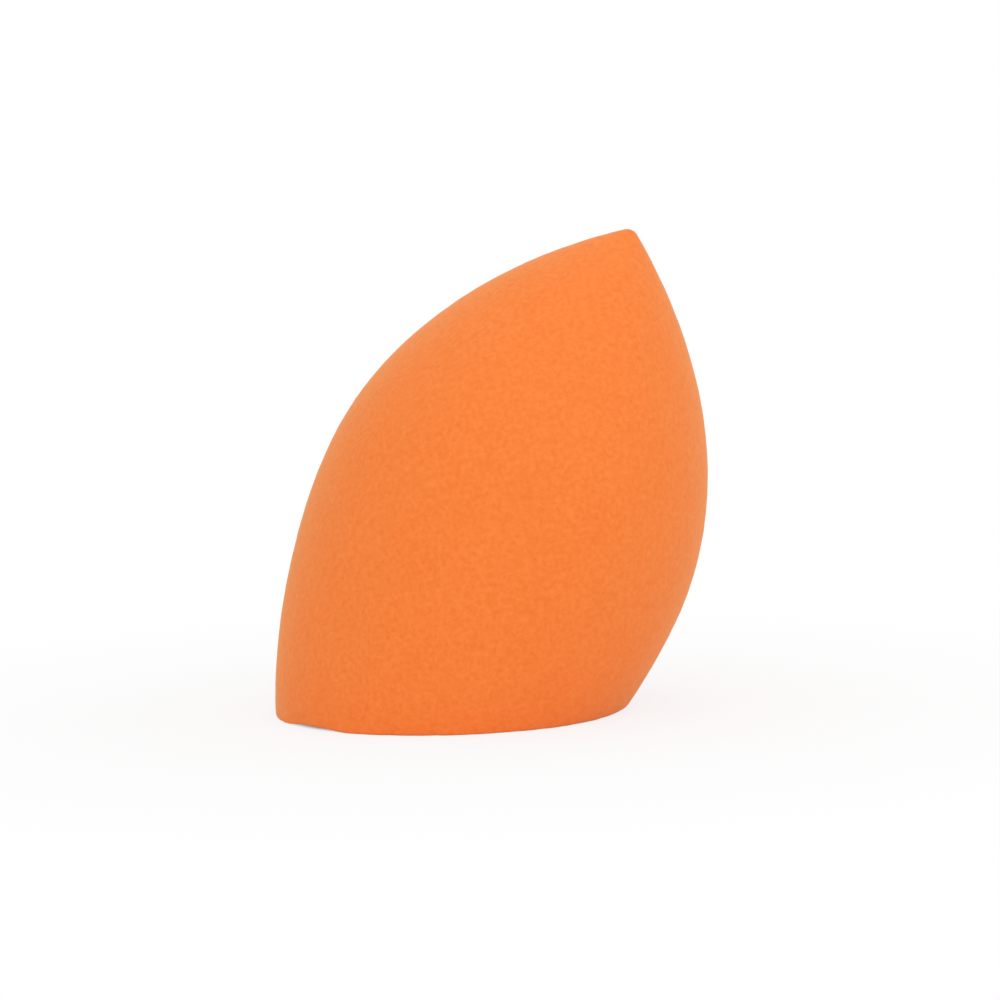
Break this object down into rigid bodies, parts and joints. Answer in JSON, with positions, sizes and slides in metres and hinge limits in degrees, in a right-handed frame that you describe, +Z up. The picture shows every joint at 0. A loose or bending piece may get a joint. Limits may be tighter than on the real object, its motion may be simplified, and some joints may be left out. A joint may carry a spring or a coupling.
{
  "type": "makeup sponge",
  "caption": "Soft foam teardrop with a small rounded tip and a slanted flat face that it stands on, held in the fingers to dab and blend cosmetics.",
  "frame": {"origin": "where the teardrop's own axis meets the flat slanted face, on the surface that the sponge stands on", "axes": "+Z up from the standing face into the foam, +X the way the tip leans, and the XZ plane is a mirror plane"},
  "size_m": [0.0451, 0.04, 0.0491],
  "materials": {
    "foam": "matte fine-celled polyurethane foam, dyed orange right through"
  },
  "bodies": {
    "root": {"sponge_body": "foam"}
  },
  "joints": []
}
